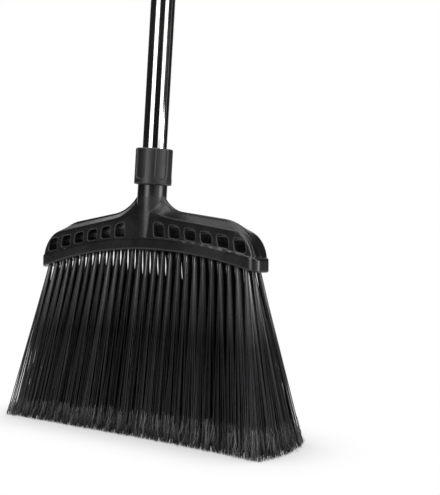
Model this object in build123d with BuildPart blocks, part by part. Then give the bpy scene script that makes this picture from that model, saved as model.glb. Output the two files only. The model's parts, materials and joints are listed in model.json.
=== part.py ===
from build123d import *
from math import cos, radians, sin, sqrt
import os

os.makedirs("parts", exist_ok=True)

# A broom with an arched head, four rows of flared bristles and a pole of four screwed sections.
# The floor is z = 0, the head runs along X and the pole leans towards +X. All sizes are in mm.
# A place on the pole is given as its distance along the pole from its foot, level with the rim's underside.

# Pole
POLE_TILT = 3.8            # degrees from upright
POLE_SHIFT = 3.0           # from the middle of the rim to the pole's foot
TUBE_OD = 22.0
TUBE_WALL = 0.6
FIRST_JOINT = 321.0        # place of the lowest pole joint
SECTION_RISE = 272.0       # from one pole joint to the next
SECTIONS = 4

# Gaps
PRESS_GAP = 0.05           # round a piece that is pressed or glued into another
RUN_GAP = 0.1              # round a piece that turns or slides in another
FACE_GAP = 0.2             # between end faces that part when a thread is undone
THREAD_GAP = 0.3           # between the crest of a thread and the wall it runs in
OVERCUT = 1.0              # how far a cut starts outside the face that it opens

# Threads, as shares of the pitch
THREAD_ROOT = 0.38
THREAD_CREST = 0.2

# Pole joint: a socket on the lower section, a plug with a threaded stud on the upper one
BAND_OD = 25.2
BAND_HALF = 31.0           # length of the socket's or the plug's sleeve
BAND_CHAMFER = 0.8
TUBE_SEAT = 14.0           # from the end of a sleeve to the end of the tube in it
SPIGOT_DEPTH = 16.0        # reach of a socket or plug inside its tube
STUD_LENGTH = 23.0
STUD_RADIUS = 8.0
STUD_DEPTH = 1.1           # height of the stud's thread
STUD_PITCH = 5.0
STUD_PLAIN = 2.5           # bare length at the stud's tip
STUD_TURNS = 3.4
SOCKET_TURNS = 2.8
PLUG_BORE = 5.0            # radius
SEAL_THICK = 1.2
SEAL_OD = 24.2

# Collar nut on the neck
NUT_FOOT = 57.5
NUT_HEIGHT = 32.0
NUT_OD = 33.4
NUT_LIP = 4.0
NUT_CHAMFER = 0.8
NUT_PANELS = 5
PANEL_START = -24.0        # turn from the +X side to the middle of a panel
PANEL_WIDTH = 7.8          # at the root of its sloped sides, in line with the neck's surface
PANEL_SLOPE = 35.0
PANEL_DEPTH = 1.2
PANEL_FOOT = 6.8           # from the nut's foot to the panel's own, at that root
PANEL_CORNER = 2.0
NECK_OD = 26.4
NECK_THREAD_OD = 26.0
NECK_THREAD_DEPTH = 0.9
NECK_PITCH = 4.0
NECK_TURNS = 4.6
NECK_FLOOR = 40.0          # bottom of the neck's bore
SLIP_THICK = 1.2           # slip ring between the nut's lip and the tip's flange
TIP_FLANGE = 4.0
TIP_FLANGE_OD = 24.0
TIP_SPIGOT_OD = 18.2
TIP_SPIGOT = 36.0
TIP_BORE = 6.0             # radius

# Head
RIM_UNDERSIDE = 160.0      # height of the rim's underside at the middle
RIM_LENGTH = 252.0
RIM_DEPTH = 24.0
RIM_HEIGHT = 10.8          # at the middle
RIM_SAG = 18.6             # how far the arched underside drops at the rim's ends
RIM_TOP_SAG = 17.4         # how far the top drops there
RIM_CORNER = 7.0
RIM_EDGE = 1.2             # rounding of the lower edge
RIM_TOP_EDGE = 2.4         # rounding of the upper edge

# Web: a thin crest along its outline and a roof that slopes from it to a window face on each side.
# A rise is a height over the middle of the rim's top, and an end rise is over the rim's top there.
CREST_DEPTH = 4.0
CREST_EDGE = 1.8
CREST_RISE = 0.4           # crest above the roof's own ridge
CREST_INSET = 2.0          # from the rim's end in to the crest's end
CREST_END_RISE = 1.0
CREST_TURN = 39.0          # from the crest's end in to where the shoulder rounds over
CREST_TURN_RISE = 15.4
CREST_WAIST = 40.0         # where the shoulder turns up into the gusset
CREST_WAIST_RISE = 21.9
GUSSET_HALF = 8.6          # from the pole's axis to the top of a gusset
FRONT_STEP = 1.5           # from the rim's face back to the window face
FRONT_INSET = 3.0
FRONT_END_RISE = 0.3
FRONT_TURN = 17.5
FRONT_TURN_RISE = 4.2
FRONT_WAIST = 36.0
FRONT_WAIST_RISE = 15.5
FRONT_TOP_RISE = 24.4      # where its top edge would meet the middle, inside the rib
FRONT_EDGE = 2.8
HALF_OVERLAP = 2.0         # how far one half of the web reaches past the pole's foot
RIB_FOOT = 9.0             # place where the half-round rib starts, inside the rim
RIB_STEP = 0.6             # from the rim's face back to the rib's foot
RIB_TOP = 47.0
WINDOWS = 6                # on each side of the rib
WINDOW_FIRST = 23.3        # middle of the first window
WINDOW_LAST = 12.7         # from the window face's end in to the middle of the last window
WINDOW_BAR = 5.6           # bar between two windows
WINDOW_SILL = 0.5
WINDOW_HEIGHT = 11.9       # height of the first window, over the middle of the rim
WINDOW_FALL = 0.155        # drop of the window tops for each millimetre out
WINDOW_DRAW = 0.98         # how much nearer to the rib a window's top is than its foot
WINDOW_ARCH = 5.0          # corner radius at a window's outer top corner
WINDOW_CORNER = 2.2        # at its other corners

# Bristles
ROWS = 4
RIM_WALL = 1.4             # rim left beside the outer rows
TUFTS = 27
TUFT_END = 11.6            # from the rim's end in to the last tuft of an outer row
ROW_STAGGER = (0, 0.25, -0.25, 0)  # share of the tuft pitch that each row is set aside
STRAND = 1.4               # side of one strand
STRAND_ROOT = 1.0          # half the spacing of a tuft's four strands in the rim
FOOT_LENGTH = 298.0        # along the middle
FOOT_DEPTH = 71.0
FOOT_ROUND = 0.05          # how much shorter the foot is along its front and back
BACKING = 3.0              # thickness of the backing slices in the rim
BACKING_END = 3.0          # backing past the last tuft
TUFT_HOLE = 3.4            # diameter
TUFT_HOLE_DEPTH = 6.0
STAPLE_WIDTH = 2.8
STAPLE_THICK = 0.5
STAPLE_HEIGHT = 4.0
STAPLE_LIFT = 1.0          # from the backing to a staple

# Grip
GRIP_COVER = 91.0          # length of tube inside the grip
GRIP_OD = 25.8
GRIP_LIP_OD = 26.8
GRIP_LIP = 5.0
GRIP_TAPER = 5.0           # from the lip to the grip
GRIP_ROOF = 5.5            # solid above the tube's end, up to the hole
GRIP_CROWN = 2.75          # height of the grip's cone above the tube's end
LOOP_OD = 27.0
LOOP_THICK = 15.0
LOOP_EDGE = 2.6
LOOP_ROOT = 17.0           # width of the loop's root in the grip
LOOP_SINK = 8.0            # how far the root goes down into the grip
HANG_HOLE = 12.0           # diameter

# The pole's own frame, with its foot on the level of the rim's underside
POLE_UP = Vector(sin(radians(POLE_TILT)), 0, cos(radians(POLE_TILT)))
POLE_SIDE = Vector(cos(radians(POLE_TILT)), 0, -sin(radians(POLE_TILT)))
POLE_FOOT = Vector(POLE_SHIFT, 0, RIM_UNDERSIDE)
POLE_AXIS = Axis(POLE_FOOT, POLE_UP)
PROFILE = Plane(origin=POLE_FOOT, x_dir=POLE_SIDE, z_dir=(0, -1, 0))

TUBE_RADIUS = TUBE_OD / 2
TUBE_BORE = TUBE_RADIUS - TUBE_WALL
SLEEVE_BORE = TUBE_RADIUS + PRESS_GAP
SPIGOT_RADIUS = TUBE_BORE - PRESS_GAP
BAND_RADIUS = BAND_OD / 2
SEAM = 2 * FACE_GAP + SEAL_THICK

NUT_TOP = NUT_FOOT + NUT_HEIGHT
SLIP_TOP = NUT_TOP - NUT_LIP - FACE_GAP
SLIP_FOOT = SLIP_TOP - SLIP_THICK
TIP_TOP = SLIP_FOOT - FACE_GAP
TIP_FACE = TIP_TOP - TIP_FLANGE
NECK_TOP = TIP_FACE - FACE_GAP
NECK_SHOULDER = NUT_FOOT - FACE_GAP

GUSSET_TOP = (NECK_SHOULDER + NECK_TOP) / 2

CREST_END = RIM_LENGTH / 2 - CREST_INSET
FRONT_END = RIM_LENGTH / 2 - FRONT_INSET
FRONT_PLACE = RIM_DEPTH / 2 - FRONT_STEP
RIB_FOOT_RADIUS = RIM_DEPTH / 2 - RIB_STEP
WINDOW_PITCH = (FRONT_END - WINDOW_LAST - WINDOW_FIRST) / (WINDOWS - 1)
WINDOW_WIDTH = WINDOW_PITCH - WINDOW_BAR
ROW_HALF = (ROWS - 1) / 2
TUFT_HALF = (TUFTS - 1) / 2
ROW_PITCH = (RIM_DEPTH - 2 * RIM_WALL) / ROWS
TUFT_PITCH = (RIM_LENGTH / 2 - TUFT_END) / TUFT_HALF
BACKING_LENGTH = 2 * (TUFT_HALF * TUFT_PITCH + TUFT_HOLE / 2 + BACKING_END)
BACKING_DEPTH = ROWS * ROW_PITCH


def joint_place(number):
    """Place of the top face of a socket, counted from the lowest pole joint."""
    return FIRST_JOINT + (number - 1) * SECTION_RISE


def station(place):
    """Plane square to the pole at a place along it."""
    return Plane(origin=POLE_FOOT + POLE_UP * place, x_dir=POLE_SIDE, z_dir=POLE_UP)


def arch_drop(x, sag):
    """Drop of an arch at x, from its sag at the rim's ends."""
    radius = ((RIM_LENGTH / 2) ** 2 + sag**2) / (2 * sag)
    return radius - sqrt(radius**2 - x**2)


def underside(x):
    """Height of the arched underside of the rim."""
    return RIM_UNDERSIDE - arch_drop(x, RIM_SAG)


def rim_top(x):
    """Height of the arched top of the rim."""
    return RIM_UNDERSIDE + RIM_HEIGHT - arch_drop(x, RIM_TOP_SAG)


def backing_top(x):
    """Height of the top of the backing, inside the rim."""
    return underside(x) + BACKING


def pocket_mouth(x):
    """Height below the rim where the cut for the backing starts."""
    return underside(x) - OVERCUT


def write(piece, name):
    """Label a piece and write its STEP file."""
    piece.label = name
    export_step(piece, f"parts/{name}.step")


def turned(points):
    """Solid of revolution about the pole from (radius, place) corners."""
    with BuildPart() as body:
        with BuildSketch(PROFILE):
            with BuildLine():
                Polyline(*points, close=True)
            make_face()
        revolve(axis=POLE_AXIS)
    return body.part


def thread_ridge(foot, turns, pitch, root, crest):
    """Helical ridge from a root radius to a crest radius, for a thread on either side."""
    root_width = THREAD_ROOT * pitch
    crest_width = THREAD_CREST * pitch
    with BuildPart() as ridge:
        with BuildLine():
            path = Helix(pitch, turns * pitch, root, center=station(foot).origin, direction=POLE_UP)
        start = path @ 0
        outward = start - station(foot).origin
        with BuildSketch(Plane(origin=start, x_dir=outward, z_dir=path % 0)) as flank:
            with BuildLine():
                Polyline(
                    (0, -root_width / 2),
                    (crest - root, -crest_width / 2),
                    (crest - root, crest_width / 2),
                    (0, root_width / 2),
                    close=True,
                )
            make_face()
        sweep(sections=flank.sketch, path=path, is_frenet=True)
    return ridge.part


def arch_band(half_length, low, high, plane):
    """Face between two arches, each given as its height over x."""
    low_end = low(half_length)
    high_end = high(half_length)
    with BuildSketch(plane) as band:
        with BuildLine():
            ThreePointArc((-half_length, low_end), (0, low(0)), (half_length, low_end))
            Line((half_length, low_end), (half_length, high_end))
            ThreePointArc((half_length, high_end), (0, high(0)), (-half_length, high_end))
            Line((-half_length, high_end), (-half_length, low_end))
        make_face()
    return band.sketch


# Head

def seat(x):
    """Height inside the rim where the web starts."""
    return (underside(x) + rim_top(x)) / 2


def leaning(side, x, rise):
    """Point on one side of the web, moved sideways by the pole's lean."""
    z = rim_top(0) + rise
    return (side * x + (z - RIM_UNDERSIDE) * POLE_UP.X / POLE_UP.Z, z)


def web_half(plane, side, end, turn, waist, top):
    """One half of the web: up its end, over the shoulder and in to its top at the neck."""
    low_in = (POLE_FOOT.X - side * HALF_OVERLAP, seat(0))
    low_out = (end[0], seat(end[0]))
    low_middle = (low_in[0] + low_out[0]) / 2
    with BuildSketch(plane) as half:
        with BuildLine():
            ThreePointArc(low_in, (low_middle, seat(low_middle)), low_out)
            Line(low_out, end)
            slope = Line(waist, turn)
            TangentArc(turn, end, tangent=slope % 1)
            TangentArc(waist, top, tangent=(slope % 0) * -1)
            Line(top, low_in)
        make_face()
    return half.sketch


def crest_half(side, sink):
    """Half of the web's outline in its middle plane, with the gusset, sunk by a small amount."""
    gusset = POLE_FOOT + POLE_UP * (GUSSET_TOP - sink) + POLE_SIDE * (side * (GUSSET_HALF - sink))
    return web_half(
        Plane.XZ,
        side,
        (side * (CREST_END - sink), rim_top(CREST_END) + CREST_END_RISE),
        leaning(side, CREST_END - CREST_TURN, CREST_TURN_RISE - sink),
        leaning(side, CREST_WAIST, CREST_WAIST_RISE - sink),
        (gusset.X, gusset.Z),
    )


def front_half(plane, side):
    """Half of the window face, under a top edge that runs on into the rib."""
    return web_half(
        plane,
        side,
        (side * FRONT_END, rim_top(FRONT_END) + FRONT_END_RISE),
        leaning(side, FRONT_END - FRONT_TURN, FRONT_TURN_RISE),
        leaning(side, FRONT_WAIST, FRONT_WAIST_RISE),
        leaning(side, 0, FRONT_TOP_RISE),
    )


def outer_edges(body):
    """Edges round the flat faces of half a web that show above the rim."""
    return [
        edge
        for face in body.faces().filter_by(Axis.Y)
        for edge in face.edges()
        if edge.bounding_box().max.Z > rim_top(edge.center().X)
        and abs(edge.center().X - POLE_FOOT.X) > GUSSET_HALF
    ]


def crest(side):
    """Thin plate with a rounded edge, half of the web's outline."""
    with BuildPart() as plate:
        extrude(crest_half(side, 0), amount=CREST_DEPTH / 2, both=True)
        fillet(outer_edges(plate), CREST_EDGE)
    return plate.part


def roof(side):
    """Half of the web's body, which slopes from its ridge to a window face in front and behind."""
    sections = [
        front_half(Plane.XZ.offset(FRONT_PLACE), side),
        crest_half(side, CREST_RISE),
        front_half(Plane.XZ.offset(-FRONT_PLACE), side),
    ]
    with BuildPart() as body:
        loft(sections, ruled=True)
        fillet(outer_edges(body), FRONT_EDGE)
    return body.part


def window_outlines():
    """Windows that stand on the arched rim and lean in to the neck, on both sides of the rib."""
    def sill(x):
        return rim_top(x) + WINDOW_SILL

    def lintel(x):
        return sill(0) + WINDOW_HEIGHT - WINDOW_FALL * (x - WINDOW_FIRST)

    with BuildSketch(Plane.XZ) as windows:
        for number in range(WINDOWS):
            near = WINDOW_FIRST + number * WINDOW_PITCH - WINDOW_WIDTH / 2
            far = near + WINDOW_WIDTH
            with BuildSketch(Plane.XZ) as window:
                with BuildLine():
                    Polyline(
                        (near, sill(near)),
                        (far, sill(far)),
                        (far * WINDOW_DRAW, lintel(far)),
                        (near * WINDOW_DRAW, lintel(near)),
                        close=True,
                    )
                make_face()
                corners = window.vertices().sort_by(Axis.Y)
                outer = corners[2:].sort_by(Axis.X)[-1]
                others = [corner for corner in corners if corner != outer]
                fillet(others, WINDOW_CORNER)
                peak = window.vertices().sort_by_distance(outer)[0]
                fillet(peak, WINDOW_ARCH)
            add(window.sketch)
        mirror(about=Plane.YZ)
    return windows.sketch


window_face = window_outlines()
rim_face = arch_band(RIM_LENGTH / 2, underside, rim_top, Plane.XZ)
pocket_face = arch_band(BACKING_LENGTH / 2 + PRESS_GAP, pocket_mouth, backing_top, Plane.XZ)
neck_ridge = thread_ridge(
    NECK_SHOULDER + NECK_PITCH / 2,
    NECK_TURNS,
    NECK_PITCH,
    NECK_THREAD_OD / 2 - NECK_THREAD_DEPTH - RUN_GAP,
    NECK_THREAD_OD / 2,
)

tuft_places = [
    ((column - TUFT_HALF + ROW_STAGGER[row]) * TUFT_PITCH, (row - ROW_HALF) * ROW_PITCH)
    for row in range(ROWS)
    for column in range(TUFTS)
]

with BuildPart() as head_block:
    extrude(rim_face, amount=RIM_DEPTH / 2, both=True)
    fillet(head_block.edges().filter_by(Axis.Z), RIM_CORNER)
    for level, rounding in ((0, RIM_EDGE), (-1, RIM_TOP_EDGE)):
        arches = head_block.faces().filter_by(GeomType.CYLINDER).sort_by(SortBy.AREA)[-2:]
        fillet(arches.sort_by(Axis.Z)[level].edges(), rounding)
    for side in (-1, 1):
        add(roof(side))
        add(crest(side))
    with BuildSketch(PROFILE):
        with BuildLine():
            Polyline(
                (0, RIB_FOOT),
                (RIB_FOOT_RADIUS, RIB_FOOT),
                (NECK_OD / 2, RIB_TOP),
                (NECK_OD / 2, NECK_SHOULDER),
                (NECK_THREAD_OD / 2 - NECK_THREAD_DEPTH, NECK_SHOULDER),
                (NECK_THREAD_OD / 2 - NECK_THREAD_DEPTH, NECK_TOP),
                (0, NECK_TOP),
                close=True,
            )
        make_face()
    revolve(axis=POLE_AXIS)
    add(neck_ridge)
    with BuildSketch(station(NECK_FLOOR)):
        Circle(TIP_SPIGOT_OD / 2 + RUN_GAP)
    extrude(amount=NECK_TOP - NECK_FLOOR, mode=Mode.SUBTRACT)
    extrude(window_face, amount=RIM_DEPTH, both=True, mode=Mode.SUBTRACT)
    extrude(pocket_face, amount=BACKING_DEPTH / 2 + PRESS_GAP, both=True, mode=Mode.SUBTRACT)
    with Locations(*[(x, y, underside(x) + BACKING - OVERCUT) for x, y in tuft_places]):
        Cylinder(
            TUFT_HOLE / 2,
            TUFT_HOLE_DEPTH + OVERCUT,
            align=(Align.CENTER, Align.CENTER, Align.MIN),
            mode=Mode.SUBTRACT,
        )
write(head_block.part, "head_block")

with BuildPart() as tuft_staples:
    with Locations(*[(x, y, underside(x) + BACKING + STAPLE_LIFT) for x, y in tuft_places]):
        Box(
            STAPLE_WIDTH,
            STAPLE_THICK,
            STAPLE_HEIGHT,
            align=(Align.CENTER, Align.CENTER, Align.MIN),
        )
write(tuft_staples.part, "tuft_staples")


# Bristles: each row is a slice of the backing with four straight strands in each tuft

def strand(root, foot):
    """Straight four-sided strand from a root inside the backing to its cut end on the floor."""
    with BuildSketch(Plane.XY.offset(root[2])) as section:
        with Locations(root[:2]):
            Rectangle(STRAND, STRAND)
    run = Vector(foot[0] - root[0], foot[1] - root[1], -root[2])
    return extrude(section.sketch, amount=run.length, dir=run, mode=Mode.PRIVATE)


foot_pitch = (FOOT_DEPTH - STRAND) / (2 * ROWS - 1)
foot_step = (FOOT_LENGTH - STRAND) / (2 * TUFTS - 1)
for row in range(ROWS):
    row_place = (row - ROW_HALF) * ROW_PITCH
    strands = []
    for column in range(TUFTS):
        middle = (column - TUFT_HALF + ROW_STAGGER[row]) * TUFT_PITCH
        for across in (0, 1):
            for along in (0, 1):
                root_x = middle + (2 * along - 1) * STRAND_ROOT
                root_y = row_place + (2 * across - 1) * STRAND_ROOT
                foot_y = (2 * row + across) * foot_pitch - (FOOT_DEPTH - STRAND) / 2
                draw = 1 - FOOT_ROUND * (2 * foot_y / FOOT_DEPTH) ** 2
                foot_x = draw * ((2 * column + along) * foot_step - (FOOT_LENGTH - STRAND) / 2)
                root_z = underside(middle) + BACKING / 2
                strands.append(strand((root_x, root_y, root_z), (foot_x, foot_y)))
    slice_face = arch_band(BACKING_LENGTH / 2, underside, backing_top, Plane.XZ.offset(-row_place))
    with BuildPart() as bristle_row:
        extrude(slice_face, amount=ROW_PITCH / 2 - PRESS_GAP, both=True)
        add(strands)
    write(bristle_row.part, f"bristle_row_{row + 1}")


# Collar nut, the tip of the pole that it holds down and the slip ring between them

nut_bore = NECK_THREAD_OD / 2 + THREAD_GAP
nut_ridge = thread_ridge(
    NECK_SHOULDER + NECK_PITCH,
    NECK_TURNS,
    NECK_PITCH,
    nut_bore + RUN_GAP,
    NECK_THREAD_OD / 2 - NECK_THREAD_DEPTH + THREAD_GAP,
)

panel_floor = NUT_OD / 2 - PANEL_DEPTH
panel_ring = turned(
    [
        (panel_floor, NUT_FOOT),
        (NUT_OD, NUT_FOOT),
        (NUT_OD, NUT_TOP + PANEL_FOOT),
        (panel_floor, NUT_TOP + PANEL_FOOT),
    ]
)
with BuildPart() as nut_panels:
    for number in range(NUT_PANELS):
        facing = POLE_SIDE.rotate(Axis((0, 0, 0), POLE_UP), PANEL_START + number * 360 / NUT_PANELS)
        panel_foot = station(NUT_FOOT + PANEL_FOOT).origin + facing * NECK_OD / 2
        with BuildSketch(Plane(origin=panel_foot, x_dir=POLE_UP.cross(facing), z_dir=facing)):
            with Locations((0, NUT_HEIGHT / 2)):
                RectangleRounded(PANEL_WIDTH, NUT_HEIGHT, PANEL_CORNER)
        extrude(amount=NUT_OD / 2 - NECK_OD / 2 + OVERCUT, taper=-PANEL_SLOPE)
    add(panel_ring, mode=Mode.INTERSECT)

with BuildPart() as collar_nut:
    with BuildSketch(PROFILE):
        with BuildLine():
            Polyline(
                (nut_bore, NUT_FOOT),
                (NUT_OD / 2 - NUT_CHAMFER, NUT_FOOT),
                (NUT_OD / 2, NUT_FOOT + NUT_CHAMFER),
                (NUT_OD / 2, NUT_TOP - NUT_CHAMFER),
                (NUT_OD / 2 - NUT_CHAMFER, NUT_TOP),
                (TUBE_RADIUS + RUN_GAP, NUT_TOP),
                (TUBE_RADIUS + RUN_GAP, NUT_TOP - NUT_LIP),
                (nut_bore, NUT_TOP - NUT_LIP),
                close=True,
            )
        make_face()
    revolve(axis=POLE_AXIS)
    add(nut_ridge)
    add(nut_panels.part, mode=Mode.SUBTRACT)
write(collar_nut.part, "collar_nut")

pole_tip = turned(
    [
        (TIP_BORE, TIP_FACE - TIP_SPIGOT),
        (TIP_SPIGOT_OD / 2, TIP_FACE - TIP_SPIGOT),
        (TIP_SPIGOT_OD / 2, TIP_FACE),
        (TIP_FLANGE_OD / 2, TIP_FACE),
        (TIP_FLANGE_OD / 2, TIP_TOP),
        (SPIGOT_RADIUS, TIP_TOP),
        (SPIGOT_RADIUS, TIP_TOP + SPIGOT_DEPTH),
        (TIP_BORE, TIP_TOP + SPIGOT_DEPTH),
    ]
)
write(pole_tip, "pole_tip")

slip_ring = turned(
    [
        (TUBE_RADIUS + RUN_GAP, SLIP_FOOT),
        (TIP_FLANGE_OD / 2, SLIP_FOOT),
        (TIP_FLANGE_OD / 2, SLIP_TOP),
        (TUBE_RADIUS + RUN_GAP, SLIP_TOP),
    ]
)
write(slip_ring, "slip_ring")


# Pole sections

def tube(foot, top):
    """Plain tube between two places on the pole."""
    return turned([(TUBE_BORE, foot), (TUBE_RADIUS, foot), (TUBE_RADIUS, top), (TUBE_BORE, top)])


def socket(face):
    """Lower half of a black band: a sleeve over the tube, a spigot in it and an inner thread."""
    bore = STUD_RADIUS + THREAD_GAP
    seat = face - TUBE_SEAT
    sleeve = turned(
        [
            (bore, face),
            (BAND_RADIUS, face),
            (BAND_RADIUS, face - BAND_HALF + BAND_CHAMFER),
            (BAND_RADIUS - BAND_CHAMFER, face - BAND_HALF),
            (SLEEVE_BORE, face - BAND_HALF),
            (SLEEVE_BORE, seat),
            (SPIGOT_RADIUS, seat),
            (SPIGOT_RADIUS, seat - SPIGOT_DEPTH),
            (bore, seat - SPIGOT_DEPTH),
        ]
    )
    ridge = thread_ridge(
        face + SEAM - STUD_LENGTH + STUD_PLAIN + STUD_PITCH / 2,
        SOCKET_TURNS,
        STUD_PITCH,
        bore + RUN_GAP,
        STUD_RADIUS - STUD_DEPTH + THREAD_GAP,
    )
    with BuildPart() as piece:
        add(sleeve)
        add(ridge)
    return piece.part


def plug(face):
    """Upper half of a black band: a sleeve over the tube, a spigot in it and a threaded stud."""
    core = STUD_RADIUS - STUD_DEPTH
    shoulder = face + SEAM
    seat = shoulder + TUBE_SEAT
    sleeve = turned(
        [
            (PLUG_BORE, shoulder - STUD_LENGTH),
            (core, shoulder - STUD_LENGTH),
            (core, shoulder),
            (BAND_RADIUS, shoulder),
            (BAND_RADIUS, shoulder + BAND_HALF - BAND_CHAMFER),
            (BAND_RADIUS - BAND_CHAMFER, shoulder + BAND_HALF),
            (SLEEVE_BORE, shoulder + BAND_HALF),
            (SLEEVE_BORE, seat),
            (SPIGOT_RADIUS, seat),
            (SPIGOT_RADIUS, seat + SPIGOT_DEPTH),
            (PLUG_BORE, seat + SPIGOT_DEPTH),
        ]
    )
    ridge = thread_ridge(
        shoulder - STUD_LENGTH + STUD_PLAIN, STUD_TURNS, STUD_PITCH, core - RUN_GAP, STUD_RADIUS
    )
    with BuildPart() as piece:
        add(sleeve)
        add(ridge)
    return piece.part


def seal(face):
    """Ring in the seam between a socket and the plug above it."""
    bore = STUD_RADIUS + THREAD_GAP
    low = face + FACE_GAP
    high = low + SEAL_THICK
    return turned([(bore, low), (SEAL_OD / 2, low), (SEAL_OD / 2, high), (bore, high)])


grip_top = joint_place(SECTIONS)
for section in range(1, SECTIONS + 1):
    foot = TIP_TOP
    top = grip_top
    if section > 1:
        below = joint_place(section - 1)
        foot = below + SEAM + TUBE_SEAT
        write(plug(below), f"plug_{section}")
        write(seal(below), f"seal_{section - 1}")
    if section < SECTIONS:
        top = joint_place(section) - TUBE_SEAT
        write(socket(joint_place(section)), f"socket_{section}")
    write(tube(foot, top), f"tube_{section}")


# Grip with its hanging loop

hole_place = grip_top + GRIP_ROOF + HANG_HOLE / 2
with BuildPart() as loop:
    with BuildSketch(PROFILE):
        with Locations((0, hole_place)):
            Circle(LOOP_OD / 2)
        with BuildLine():
            Polyline(
                (-LOOP_ROOT / 2, grip_top - LOOP_SINK),
                (LOOP_ROOT / 2, grip_top - LOOP_SINK),
                (LOOP_OD / 2, hole_place),
                (-LOOP_OD / 2, hole_place),
                close=True,
            )
        make_face()
        with Locations((0, hole_place)):
            Circle(HANG_HOLE / 2, mode=Mode.SUBTRACT)
    extrude(amount=LOOP_THICK / 2, both=True)
    fillet(loop.faces().filter_by(Axis.Y).edges(), LOOP_EDGE)

with BuildPart() as hand_grip:
    with BuildSketch(PROFILE):
        with BuildLine():
            Polyline(
                (0, grip_top - GRIP_COVER),
                (GRIP_LIP_OD / 2, grip_top - GRIP_COVER),
                (GRIP_LIP_OD / 2, grip_top - GRIP_COVER + GRIP_LIP),
                (GRIP_OD / 2, grip_top - GRIP_COVER + GRIP_LIP + GRIP_TAPER),
                (GRIP_OD / 2, grip_top - LOOP_EDGE),
                (LOOP_THICK / 2, grip_top + GRIP_CROWN),
                (0, grip_top + GRIP_CROWN),
                close=True,
            )
        make_face()
    revolve(axis=POLE_AXIS)
    add(loop.part)
    with BuildSketch(station(grip_top - GRIP_COVER)):
        Circle(SLEEVE_BORE)
    extrude(amount=GRIP_COVER + PRESS_GAP, mode=Mode.SUBTRACT)
write(hand_grip.part, "hand_grip")
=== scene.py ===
import json
import math

import bpy
import numpy as np
from bpy.props import FloatProperty, FloatVectorProperty, IntProperty, PointerProperty
from mathutils import Matrix, Vector


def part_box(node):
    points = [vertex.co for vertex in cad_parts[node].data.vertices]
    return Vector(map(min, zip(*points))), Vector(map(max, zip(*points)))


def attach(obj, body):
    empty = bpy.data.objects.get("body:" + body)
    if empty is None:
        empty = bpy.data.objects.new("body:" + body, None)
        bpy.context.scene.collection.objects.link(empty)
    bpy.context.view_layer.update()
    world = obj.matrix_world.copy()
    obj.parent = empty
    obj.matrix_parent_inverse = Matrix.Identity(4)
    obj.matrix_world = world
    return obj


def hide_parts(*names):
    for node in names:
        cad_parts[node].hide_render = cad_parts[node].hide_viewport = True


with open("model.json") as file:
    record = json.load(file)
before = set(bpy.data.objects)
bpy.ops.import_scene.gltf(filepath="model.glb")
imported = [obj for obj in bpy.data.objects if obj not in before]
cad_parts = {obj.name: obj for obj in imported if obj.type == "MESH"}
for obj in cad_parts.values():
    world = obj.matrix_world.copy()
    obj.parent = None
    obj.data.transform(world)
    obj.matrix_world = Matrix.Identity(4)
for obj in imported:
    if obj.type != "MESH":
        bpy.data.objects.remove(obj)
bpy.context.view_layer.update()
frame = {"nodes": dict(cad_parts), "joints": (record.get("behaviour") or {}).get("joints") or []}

bl_info = {
    "name": "Sectional Broom",
    "version": (1, 0, 0),
    "blender": (4, 5, 0),
    "location": "3D View > Sidebar > Broom",
    "description": "Dresses a broom with flagged bristles, moulded plastic and a polished pole",
    "category": "Object",
}

POLE_UP = Vector(next(j["axis"] for j in frame["joints"] if j["name"] == "section_2_turn"))
MILLIMETRE = 0.001
LEVEL = np.array([1, 1, 0])

# The brush as it is built: rows of tufts set in an arched rim, cut flat on the floor.
# A row's stagger is a share of the tuft pitch.
ROWS = 4
ROW_PITCH = 0.0053
ROW_STAGGER = (0, 0.25, -0.25, 0)
TUFTS = 27
TUFT_PITCH = 0.0088
RIM_UNDERSIDE = 0.160
RIM_LENGTH = 0.252
RIM_SAG = 0.0186
BACKING = 0.003
BACKING_GAP = 0.0001
BACKING_LENGTH = 0.2382
SLICE_STATIONS = 41
FOOT_LENGTH = 2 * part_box("bristle_row_2")[1].x
FOOT_DEPTH = -2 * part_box("bristle_row_1")[0].y
FOOT_ROUND = 0.045
FOOT_BULGE = -0.3
FOOT_SPLAY = (0.035, 0.2)
ARCH_RADIUS = ((RIM_LENGTH / 2) ** 2 + RIM_SAG**2) / (2 * RIM_SAG)

# Filaments are laid out by the golden angle, and draw together in clumps, less so in the end tufts
GOLDEN_ANGLE = math.pi * (3 - math.sqrt(5))
STRAND_SIDES = 5
STRAND_RINGS = 7
ROOT_SWELL = 0.7
TUFT_SPREAD = 0.74
CLUMPS = 6
CLUMP_PULL = (0.2, 0.6)
END_TUFTS = 2
END_PULL = 0.3
TIP_SCATTER = 0.6 * MILLIMETRE
STRAY_REACH = 4 * MILLIMETRE
BUNDLE_SHARE = 0.75

# Each tuft has a packed middle in its upper part
CORE_SIDES = 10
CORE_SHARE = 0.4
CORE_SWELL = 0.2
CORE_POINT = 0.97

# Split ends: shares of the flag's length, of its spread and of the filament's thickness
FLAG_LEAN = 0.4
FLAG_START = (0.5, 1.2)
HAIR_SIDES = 3
HAIR_RINGS = 5
HAIR_PART = 0.35
HAIR_RADIUS = 0.3
HAIR_TAPER = 0.16
WISP_CURL = 0.9 * MILLIMETRE
CURL_RUN = 1.3

# Tones from 0, dark, to 1, pale. The strands' map runs across by tone and up by length.
OWN_TONE = 0.3
CLUMP_TONE = 0.7
# The end tufts' tone is lifted: painted light on the row's ends.
END_PAINTED_LIGHT = 0.4
CORE_TONE = (0.3, 0.9)
HAIR_TONE = 0.1
SLICE_TONE = (0.3, 0.7)
SLICE_ALONG = (0.03, 0.05)
BRISTLE_MAP = "OFBake"
MAP_EDGE = 0.02
MAP_COLUMN = 0.008
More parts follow.
